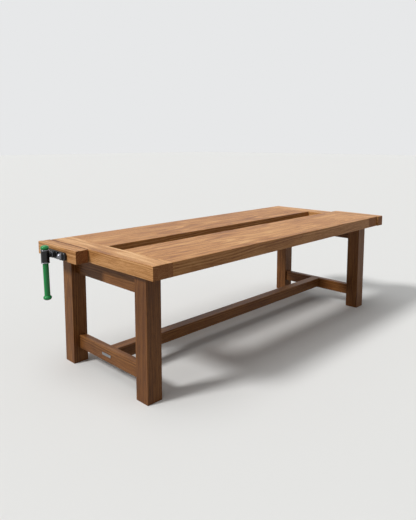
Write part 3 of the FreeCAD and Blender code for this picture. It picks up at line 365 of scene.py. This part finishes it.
# the axis of the grain, the stave's width, the distance to the heart, the wander and the tones;
# a board narrower than its stave is one piece, and pegs further apart than that differ
BOARDS = {
    "slab_front": ("x", 119.5 * MM, 90 * MM, 50 * MM, TOP_TONES),
    "slab_back": ("x", 119.5 * MM, 90 * MM, 50 * MM, TOP_TONES),
    "end_cap_left": ("y", 73.5 * MM, 80 * MM, 40 * MM, CAP_LIT_TONES),
    "end_cap_right": ("y", 73.5 * MM, 80 * MM, 40 * MM, CAP_LIT_TONES),
    "left_vise_jaw": ("y", 98 * MM, 70 * MM, 40 * MM, CAP_LIT_TONES),
    "right_vise_jaw": ("y", 98 * MM, 70 * MM, 40 * MM, CAP_LIT_TONES),
    "upper_rail_left": ("y", 200 * MM, 120 * MM, 25 * MM, FRAME_SHADED_TONES),
    "upper_rail_right": ("y", 200 * MM, 120 * MM, 25 * MM, FRAME_SHADED_TONES),
    "end_stretcher_left": ("y", 200 * MM, 80 * MM, 25 * MM, FRAME_SHADED_TONES),
    "end_stretcher_right": ("y", 200 * MM, 80 * MM, 25 * MM, FRAME_SHADED_TONES),
    "long_stretcher": ("x", 200 * MM, 90 * MM, 30 * MM, FRAME_SHADED_TONES),
    "leg_front_left": ("z", 200 * MM, 110 * MM, 22 * MM, FRAME_SHADED_TONES),
    "leg_back_left": ("z", 200 * MM, 95 * MM, 22 * MM, FRAME_SHADED_TONES),
    "leg_front_right": ("z", 200 * MM, 105 * MM, 22 * MM, FRAME_SHADED_TONES),
    "leg_back_right": ("z", 200 * MM, 90 * MM, 22 * MM, FRAME_SHADED_TONES),
    "cap_pegs": ("z", 400 * MM, 30 * MM, 10 * MM, FRAME_SHADED_TONES),
    "stretcher_pegs": ("z", 400 * MM, 30 * MM, 10 * MM, FRAME_SHADED_TONES),
}
for number, (board, (grain, stave, heart, wander, tones)) in enumerate(BOARDS.items(), 1):
    dress(board, oiled_wood(board, grain, number * SEED_STEP, stave, heart, wander, tones))
print("boards finished:", len(BOARDS))

# %% [markdown]
# ## Enamel
#
# The vises' castings are painted gloss black and their handles green, and the paint is baked hard
# in a stove. One flat colour with a gloss would look like moulded plastic. Stoved enamel is never
# quite even: it ripples faintly where it flowed, and its sheen changes from patch to patch. So two
# close tones, a patchy roughness and a slight ripple do most of it, and a thin clear coat adds the
# sharp highlight on top.

# %% Make the enamels
ENAMEL_PATCH = (40 * MM, 40 * MM, 2.0)
ENAMEL_TONE_PLACES = (0.3, 0.7)
RIPPLE_HEIGHT, RIPPLE_STRENGTH, RIPPLE_DETAIL = 0.05 * MM, 0.25, 2.0
# a finish's roughness runs from the first to the second times the one that it is given
SMOOTHER, ROUGHER = 0.7, 1.4


def enamel(name, tones, rough, ripple):
    """Stoved enamel of two close tones, with this roughness and ripples of this width."""

    def surface(tree):
        source = add(tree, "TexCoord").outputs["Object"]
        patches = mottle(tree, source, *ENAMEL_PATCH)
        ripples = mottle(tree, source, ripple, ripple, RIPPLE_DETAIL)
        return {
            "Base Color": add(tree, "ValToRGB", {"Fac": patches}, zip(ENAMEL_TONE_PLACES, tones)),
            "Roughness": add(tree, "MapRange", {"Value": patches, "To Min": rough * SMOOTHER,
                                                "To Max": rough * ROUGHER}),
            "Normal": add(tree, "Bump", {"Height": ripples, "Distance": RIPPLE_HEIGHT,
                                         "Strength": RIPPLE_STRENGTH}),
            "Specular IOR Level": 0.4,
            "Coat Weight": 0.1,
            "Coat Roughness": 0.08,
        }

    return new_material(name, surface)


# nearly black, so that a casting's shape shows in its highlights alone
black_enamel = enamel("black_stoved_enamel", ("#060607", "#0C0C0E"), 0.24, 3 * MM)
# a strong clear green, the one bright colour on the bench
green_enamel = enamel("green_stoved_enamel", ("#008A3E", "#009344"), 0.22, 5 * MM)

# %% [markdown]
# ## Bare metal
#
# The rods and screws were turned on a lathe, which leaves fine rings round them, and the other
# pieces were rubbed or plated to an even satin. An anisotropic shine could show the rings, but it
# needs a direction at each point. A very fine bump that follows the tool does much the same and
# works on any shape. Handling leaves patches that are darker and slicker with oil.

# %% Make the bare metals
# the tool moved 0.4 mm along the bar with each turn
TURNING_MARKS = (0.4 * MM, 50 * MM, 1.0)
# real satin is finer, and is drawn about 1.1 mm wide so that it shows close to
SATIN = (MM / 0.9, MM / 0.9, 1.0)
OILY_PATCH = (25 * MM, 25 * MM, 2.0)
PATCH_SHARE = 0.6
METAL_TONE_PLACES = (0.2, 0.6)
MARK_HEIGHT, MARK_STRENGTH = 0.02 * MM, 0.4


def bare_metal(name, tones, rough, marks):
    """Metal of two tones and this roughness, with marks of the tool that finished it."""

    def surface(tree):
        source = add(tree, "TexCoord").outputs["Object"]
        fine = mottle(tree, source, *marks)
        patches = mottle(tree, source, *OILY_PATCH)
        blend = add(tree, "Mix", {"Factor": PATCH_SHARE, 2: fine, 3: patches})
        return {
            "Base Color": add(tree, "ValToRGB", {"Fac": blend}, zip(METAL_TONE_PLACES, tones)),
            "Metallic": 1.0,
            "Roughness": add(tree, "MapRange", {"Value": patches, "To Min": rough * SMOOTHER,
                                                "To Max": rough * ROUGHER}),
            "Normal": add(tree, "Bump", {"Height": fine, "Distance": MARK_HEIGHT,
                                         "Strength": MARK_STRENGTH}),
        }

    return new_material(name, surface)


# heat and oil turn the plates' screws a soft dark grey that still glints
blacked_steel = bare_metal("blacked_steel", ("#4A4A4E", "#5C5C61"), 0.28, SATIN)
# polished before it was darkened, so the domes and rings mirror the room in grey
gun_steel = bare_metal("polished_gun_steel", ("#707076", "#8A8A90"), 0.26, SATIN)
# bright steel, whose turning marks draw each highlight out along the bar
turned_steel = bare_metal("turned_bright_steel", ("#8F9194", "#B4B6B8"), 0.26, TURNING_MARKS)
# bought fasteners, paler than the rest and with a duller shine
zinc_plate = bare_metal("zinc_plated_steel", ("#9A9DA0", "#BCBFC2"), 0.34, SATIN)
# the rods' bushes, a warm yellow brown
bronze = bare_metal("turned_bronze", ("#8C6231", "#B98B4C"), 0.30, TURNING_MARKS)
# the small blank plate, a worn grey with hardly any shine
plate_steel = bare_metal("brushed_plate_steel", ("#7C7E81", "#96989B"), 0.40, SATIN)

# %% Finish the metal pieces
SIDES = {"left": -1, "right": 1}  # which way along X each vise faces
VISE_FINISHES = (
    (black_enamel, ("front_plate", "screw_hub", "vise_nut")),
    (green_enamel, ("handle_bar", "handle_knobs")),
    (blacked_steel, ("plate_screws",)),
    (gun_steel, ("rod_cap_nuts", "hub_bushes")),
    (turned_steel, ("guide_rod_inner", "guide_rod_outer", "vise_screw", "tie_bar",
                    "screw_retainer", "retainer_pin", "hub_pin")),
    (zinc_plate, ("tie_bar_nuts", "nut_screws")),
    (bronze, ("rod_bushes",)),
)
metal_finishes = {"coach_screws": zinc_plate, "coach_washers": zinc_plate,
                  "blank_plate": plate_steel, "plate_pins": plate_steel}
for side in SIDES:
    for material, pieces in VISE_FINISHES:
        metal_finishes.update({f"{side}_{piece}": material for piece in pieces})
for node, material in metal_finishes.items():
    dress(node, material)
print("metal pieces finished:", len(metal_finishes))

# %% [markdown]
# ## Pieces that stand in for packed ones
#
# Some real surfaces are richer than their plain solid: a casting has soft corners, a screw has a
# thread, a screw head has a slot. Each gets a new piece in the same place, and the plain one is
# hidden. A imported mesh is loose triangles, so a copy is joined up at its doubled corners before
# anything else is done to it.

# %% Helpers for new pieces
PACKED_JOIN = 0.002 * MM


def merged_copy(node):
    """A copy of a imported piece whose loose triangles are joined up."""
    shape = bmesh.new()
    shape.from_mesh(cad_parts[node].data)
    bmesh.ops.remove_doubles(shape, verts=shape.verts, dist=PACKED_JOIN)
    return shape


def to_object(name, shape):
    """An object at the origin from a finished bmesh."""
    mesh = bpy.data.meshes.new(name)
    shape.to_mesh(mesh)
    shape.free()
    thing = bpy.data.objects.new(name, mesh)
    bpy.context.scene.collection.objects.link(thing)
    return thing


def apply_modifiers(thing):
    """Make what the modifiers show the object's own mesh."""
    shown = thing.evaluated_get(bpy.context.evaluated_depsgraph_get())
    mesh = bpy.data.meshes.new_from_object(shown)
    thing.modifiers.clear()
    thing.data = mesh


def stand_in(thing, node, body, material, sharp_from=None):
    """Finish a new piece and put it in the place of a packed one. Its corners are drawn sharp from
    this angle in degrees on."""
    thing.data.materials.append(material)
    thing.data.shade_smooth()
    if sharp_from:
        thing.data.set_sharp_from_angle(angle=math.radians(sharp_from))
    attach(thing, body)
    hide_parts(node)
    print(thing.name, "faces:", len(thing.data.polygons))


# %% [markdown]
# ## Castings
#
# The front plate and the hub were poured into sand moulds, and sand can't hold a sharp corner:
# every edge is rounded and every inside corner has a fillet. Rounding those one by one would need
# the edges named in order. A remesh turns the shape into an even skin of small squares instead,
# and smoothing that skin rounds all its corners alike, by about twice the square's size.

# %% Make the castings
CAST_SKIN = 0.9 * MM
SMOOTHINGS = 10


def casting(node):
    """A packed casting with the soft corners that sand gives."""
    thing = to_object(f"{node}_cast", merged_copy(node))
    skin = thing.modifiers.new("even skin", "REMESH")
    skin.mode = "VOXEL"
    skin.voxel_size = CAST_SKIN
    soften = thing.modifiers.new("soft corners", "SMOOTH")
    soften.factor = 0.5
    soften.iterations = SMOOTHINGS
    apply_modifiers(thing)
    return thing


for side in SIDES:
    for piece, body in (("front_plate", f"{side}_jaw"), ("screw_hub", f"{side}_screw")):
        node = f"{side}_{piece}"
        stand_in(casting(node), node, body, black_enamel)

# %% [markdown]
# ## The vise screws
#
# A vise screw is turned from one bar: a spigot for the hub, a collar that pushes the jaw, a plain
# neck that runs in the plate, and the thread. The thread has two starts 5 mm apart, so one turn
# moves the jaw 10 mm, and its flat crests and roots carry load better than a sharp V. What shows
# in front of the jaw is blacked like the plate's screws, and the rest is bright.
#
# The neck is a line spun round the axis. A Screw modifier could wind the thread, but it leaves both
# ends open. Here the outline of one turn's length is spun once round with a small step along the
# axis each time, as a lathe's tool moves. The end of the outline then meets its own start, so
# copies of that one turn join up along the whole bar, and the ends are cut flat and closed. The
# screw is drawn in millimetres from its outer end, and one matrix brings it to its size and place.

# %% Draw the screw
LEAD, STARTS = 10, 2
BAR_RADIUS, ROOT_RADIUS = 14, 11.6
SPIGOT_RADIUS, SPIGOT_END, SPIGOT_EDGE = 11, 12.7, 0.8
COLLAR_RADIUS, COLLAR_START, COLLAR_END = 21, 13.7, 23.7
COLLAR_ROUND, COLLAR_EDGE = 6, 0.5
GROOVE_START, GROOVE_SLOPE = 144, 1.5
THREAD_START, NECK_END = 148, 148.5
THREAD_LAND, FLANK, CREST = 1.2, 0.7, 2.1


def curve(centre, radii, start, end, steps):
    """Points along part of an ellipse, from one angle to another in degrees."""
    angles = [math.radians(start + (end - start) * step / steps) for step in range(steps + 1)]
    return [(centre[0] + radii[0] * math.cos(angle), centre[1] + radii[1] * math.sin(angle))
            for angle in angles]


# every outline is a list of (along, out)
SPIGOT_LINE = [(0, 0), (0, SPIGOT_RADIUS - SPIGOT_EDGE), (SPIGOT_EDGE, SPIGOT_RADIUS),
               (SPIGOT_END, SPIGOT_RADIUS), (SPIGOT_END, BAR_RADIUS), (COLLAR_START, BAR_RADIUS)]
COLLAR_LINE = curve((COLLAR_START + COLLAR_ROUND, COLLAR_RADIUS - COLLAR_ROUND),
                    (COLLAR_ROUND, COLLAR_ROUND), 180, 90, 4)
COLLAR_LINE += [(COLLAR_END - COLLAR_EDGE, COLLAR_RADIUS), (COLLAR_END, COLLAR_RADIUS - COLLAR_EDGE),
                (COLLAR_END, BAR_RADIUS)]
NECK_LINE = [(GROOVE_START, BAR_RADIUS), (GROOVE_START + GROOVE_SLOPE, ROOT_RADIUS),
             (NECK_END, ROOT_RADIUS), (NECK_END, 0)]
RIDGE_LINE = [(0, ROOT_RADIUS), (THREAD_LAND, ROOT_RADIUS), (THREAD_LAND + FLANK, BAR_RADIUS),
              (THREAD_LAND + FLANK + CREST, BAR_RADIUS), (THREAD_LAND + 2 * FLANK + CREST, ROOT_RADIUS)]
print("root between two ridges:", round(LEAD / STARTS - CREST - 2 * FLANK, 2), "mm")

# %% Wind the thread
TURN_STEPS = 32
# turns beyond each end, which the cuts take away
SPARE_TURNS = 1.5
# points this near each other are one, and points this near a cut lie on it
JOIN, ON_THE_CUT = 0.01, 0.001
END_CHAMFER = 0.6


def spin(shape, line, steps, sideways=0.0, lead=0.0):
    """Spin a line once round the X axis, or round one beside it, while it moves along by lead."""
    verts = [shape.verts.new((along, sideways, out)) for along, out in line]
    edges = [shape.edges.new(pair) for pair in zip(verts, verts[1:])]
    bmesh.ops.spin(shape, geom=verts + edges, cent=(0, sideways, 0), axis=(1, 0, 0),
                   dvec=(lead / steps, 0, 0), angle=2 * math.pi, steps=steps, use_merge=not lead)


def everything(shape):
    """All that a bmesh holds, for the operators that want it in one list."""
    return shape.verts[:] + shape.edges[:] + shape.faces[:]


def threaded_bar(length):
    """The threaded part of the screw, from THREAD_START to this length."""
    shape = bmesh.new()
    begin = THREAD_START - SPARE_TURNS * LEAD
    line = [(begin + start * LEAD / STARTS + along, out) for start in range(STARTS)
            for along, out in RIDGE_LINE]
    spin(shape, line + [(begin + LEAD, ROOT_RADIUS)], TURN_STEPS, lead=LEAD)
    one_turn = everything(shape)
    for turn in range(1, math.ceil((length - THREAD_START) / LEAD + 2 * SPARE_TURNS)):
        copied = bmesh.ops.duplicate(shape, geom=one_turn)["geom"]
        verts = [part for part in copied if isinstance(part, bmesh.types.BMVert)]
        bmesh.ops.translate(shape, vec=(turn * LEAD, 0, 0), verts=verts)
    bmesh.ops.remove_doubles(shape, verts=shape.verts, dist=JOIN)
    for place, outwards in ((THREAD_START, -1), (length, 1)):
        bmesh.ops.bisect_plane(shape, geom=everything(shape), dist=ON_THE_CUT, plane_co=(place, 0, 0),
                               plane_no=(outwards, 0, 0), clear_outer=True)
    bmesh.ops.holes_fill(shape, edges=[edge for edge in shape.edges if edge.is_boundary], sides=0)
    # a cone takes the thread down at both ends, as a chamfering tool does
    for vert in shape.verts:
        from_end = min(vert.co.x - THREAD_START, length - vert.co.x)
        out = math.hypot(vert.co.y, vert.co.z)
        allowed = ROOT_RADIUS - END_CHAMFER + from_end
        if out > allowed:
            vert.co.yz = vert.co.yz * (allowed / out)
    return shape


# %% Make the vise screws
NECK_STEPS = 48
# just past the collar's back face
BLACKED_TO = 24


def face_middle(node, outwards):
    """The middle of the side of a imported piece's box that looks up (1) or down (-1) the X axis."""
    low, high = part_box(node)
    middle = (low + high) / 2
    return Vector((high.x if outwards > 0 else low.x, middle.y, middle.z))


def vise_screw(node, outwards):
    """The screw as one piece: the spun neck and the threaded length."""
    low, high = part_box(node)
    shape = threaded_bar((high.x - low.x) / MM)
    spin(shape, SPIGOT_LINE + COLLAR_LINE + NECK_LINE, NECK_STEPS)
    bmesh.ops.remove_doubles(shape, verts=shape.verts, dist=JOIN)
    bmesh.ops.recalc_face_normals(shape, faces=shape.faces)
    for face in shape.faces:
        face.material_index = 1 if face.calc_center_median().x < BLACKED_TO else 0
    place = Matrix.Translation(face_middle(node, outwards)) @ Matrix.Scale(MM, 4)
    if outwards > 0:
        place = place @ Matrix.Rotation(math.pi, 4, "Z")
    bmesh.ops.transform(shape, matrix=place, verts=shape.verts)
    return to_object(f"{node}_threaded", shape)


for side, outwards in SIDES.items():
    node = f"{side}_vise_screw"
    screw = vise_screw(node, outwards)
    stand_in(screw, node, f"{side}_screw", turned_steel, sharp_from=35)
    screw.data.materials.append(blacked_steel)

# %% [markdown]
# ## Domed nuts
#
# A domed nut closes over the end of each guide rod, so that no thread catches a sleeve. It was
# turned and polished: a flat washer face with a rounded rim, a narrow groove where the tool
# stopped, and a dome that is a little flatter than half a ball. Half a ball on a disc would lose
# the groove and the rim that catch the light. Everything on it is round, so half its outline is
# spun once, and the outline comes back through the hole for the rod's thread.

# %% Draw the domed nut
DOME_BASE, DOME_HEIGHT, DOME_RADIUS = 3, 17, 19.5
GROOVE_DEPTH, GROOVE_EDGE = 0.4, 0.1
FLANGE_RADIUS, SEAT_RADIUS, RIM = 22, 21.2, 1.4
BORE_RADIUS, BORE_DEPTH = 8.05, 8.4

# from the tip over the dome, which stops just short of the groove, and round the rim to the bore
NUT_LINE = curve((DOME_BASE, 0), (DOME_HEIGHT, DOME_RADIUS), 0, 87, 9)
NUT_LINE += [(DOME_BASE + GROOVE_EDGE, DOME_RADIUS - GROOVE_DEPTH), (DOME_BASE - GROOVE_EDGE, DOME_RADIUS)]
NUT_LINE += curve((RIM, FLANGE_RADIUS - RIM), (RIM, RIM), 0, 135, 4)
NUT_LINE += [(0, SEAT_RADIUS), (0, BORE_RADIUS), (BORE_DEPTH, BORE_RADIUS), (BORE_DEPTH, 0)]
print("nut:", DOME_BASE + DOME_HEIGHT, "mm high,", FLANGE_RADIUS * 2, "mm across")

# %% Make the domed nuts
NUT_STEPS = 64


def domed_nuts(node, outwards):
    """Both nuts of one vise, as one piece that sits on the plate's bosses."""
    low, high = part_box(node)
    to_nut = (high.y - low.y) / 2 / MM - FLANGE_RADIUS
    shape = bmesh.new()
    for sideways in (-to_nut, to_nut):
        spin(shape, [(along * outwards, out) for along, out in NUT_LINE], NUT_STEPS, sideways)
    bmesh.ops.remove_doubles(shape, verts=shape.verts, dist=JOIN)
    bmesh.ops.recalc_face_normals(shape, faces=shape.faces)
    place = Matrix.Translation(face_middle(node, -outwards)) @ Matrix.Scale(MM, 4)
    bmesh.ops.transform(shape, matrix=place, verts=shape.verts)
    return to_object(f"{node}_domed", shape)


for side, outwards in SIDES.items():
    node = f"{side}_rod_cap_nuts"
    stand_in(domed_nuts(node, outwards), node, f"{side}_jaw", gun_steel, sharp_from=30)

# %% [markdown]
# ## Slotted screws
#
# The plate and the nut are held by slotted wood screws, and no fitter leaves all the slots at one
# angle. A dark line drawn on each head would do from afar, but it would have no depth. A thin blade
# is set across each head and taken away with a boolean instead, the way a saw cuts the slot on a
# real screw.

# %% Cut the slots
# how wide the heads are, and how wide and deep their slots
PLATE_SCREW = (12 * MM, 1.6 * MM, 1.9 * MM)
NUT_SCREW = (13 * MM, 1.8 * MM, 2.0 * MM)
SLOT_ANGLES = (14, 62, -38, 85)
BLADE_OVER_HEAD = 1.2


def slotted(node, outwards, head, slot_width, slot_depth):
    """A packed group of four screws with a slot sawn across each head."""
    low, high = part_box(node)
    to_head = (high - low) / 2 - Vector((0, head / 2, head / 2))
    corners = [(along, up) for up in (-1, 1) for along in (-1, 1)]
    blades = bmesh.new()
    for angle, (along, up) in zip(SLOT_ANGLES, corners):
        middle = face_middle(node, outwards) + Vector((0, to_head.y * along, to_head.z * up))
        place = Matrix.Translation(middle) @ Matrix.Rotation(math.radians(angle), 4, "X")
        # half of the blade is outside the head
        size = Matrix.Diagonal((slot_depth * 2, head * BLADE_OVER_HEAD, slot_width, 1))
        bmesh.ops.create_cube(blades, size=1, matrix=place @ size)
    saw = to_object(f"{node}_saw", blades)
    thing = to_object(f"{node}_slotted", merged_copy(node))
    cut = thing.modifiers.new("slots", "BOOLEAN")
    cut.operation = "DIFFERENCE"
    cut.object = saw
    apply_modifiers(thing)
    bpy.data.objects.remove(saw)
    return thing


for side, outwards in SIDES.items():
    node = f"{side}_plate_screws"
    plate_screws = slotted(node, outwards, *PLATE_SCREW)
    stand_in(plate_screws, node, f"{side}_jaw", blacked_steel, sharp_from=30)
    node = f"{side}_nut_screws"
    nut_screws = slotted(node, -outwards, *NUT_SCREW)
    stand_in(nut_screws, node, "bench", zinc_plate, sharp_from=30)

# %% [markdown]
# ## The studio
#
# The bench stands on a pale floor in soft light. A sun lamp lights everything evenly however far
# away it is, and its angle sets how soft its shadows are. The main one comes from the left and a
# little behind, so the top and the left faces are lit and the long front side falls into shade. A
# broad one overhead lightens what is in its shadow on the top and the floor, and a weak one from
# the front right keeps the front side readable. More light would make the background pale too,
# but it would wash out the bench. So the floor and the world are pale only where they are seen,
# and darker for the soft light that they give.

# %% Lay the floor
FLOOR_REACH = 60
FLOOR_LIGHTS, FLOOR_SHOWS = "#7C7A78", "#E0E0DE"


def as_background(tree):
    """1 for the camera, a mirror-like surface or glass, which all show the background, and 0 for
    the soft light that the background gives."""
    seen_by = add(tree, "LightPath").outputs
    seen = seen_by["Is Camera Ray"]
    for ray in ("Is Glossy Ray", "Is Transmission Ray"):
        seen = add(tree, "Math", {0: seen, 1: seen_by[ray]}, operation="MAXIMUM")
    return seen


def floor_surface(tree):
    """Matt, with one tone for what it lights and another for what sees it."""
    tone = add(tree, "Mix", {"Factor": as_background(tree), 6: linear(FLOOR_LIGHTS),
                             7: linear(FLOOR_SHOWS)}, data_type="RGBA")
    return {"Base Color": tone, "Roughness": 0.8}


floor_shape = bmesh.new()
bmesh.ops.create_grid(floor_shape, x_segments=1, y_segments=1, size=FLOOR_REACH)
floor = to_object("floor", floor_shape)
floor.data.materials.append(new_material("pale_floor", floor_surface))
print("floor reaches, in metres:", max(vert.co.x for vert in floor.data.vertices))

# %% Light the bench
WORLD_LIGHTS, WORLD_SHOWS = 0.23, 0.9
WORLD_TONE = "#F2F3F4"
# the direction towards the lamp, how many degrees it is across, and its strength
LAMPS = {
    "key": ((-1.0, 0.33, 1.02), 12, 2.3),
    "overhead": ((-0.15, 0.1, 1.0), 45, 1.0),
    "fill": ((0.6, -1.0, 0.8), 50, 0.10),
}
LAMP_DISTANCE = 4

scene = bpy.context.scene
scene.view_settings.view_transform = "Standard"
scene.world = bpy.data.worlds.new("world")
scene.world.use_nodes = True
sky = scene.world.node_tree
sky.nodes.clear()
strength = add(sky, "MapRange", {"Value": as_background(sky), "To Min": WORLD_LIGHTS, "To Max": WORLD_SHOWS})
backdrop = add(sky, "Background", {"Color": linear(WORLD_TONE), "Strength": strength})
add(sky, "OutputWorld", {"Surface": backdrop})

for name, (towards, degrees_across, power) in LAMPS.items():
    lamp_data = bpy.data.lights.new(name, "SUN")
    lamp_data.angle = math.radians(degrees_across)
    lamp_data.energy = power
    lamp = bpy.data.objects.new(name, lamp_data)
    lamp.location = Vector(towards) * LAMP_DISTANCE
    lamp.rotation_euler = Vector(towards).to_track_quat("Z", "Y").to_euler()
    scene.collection.objects.link(lamp)
print("lamps:", ", ".join(LAMPS))
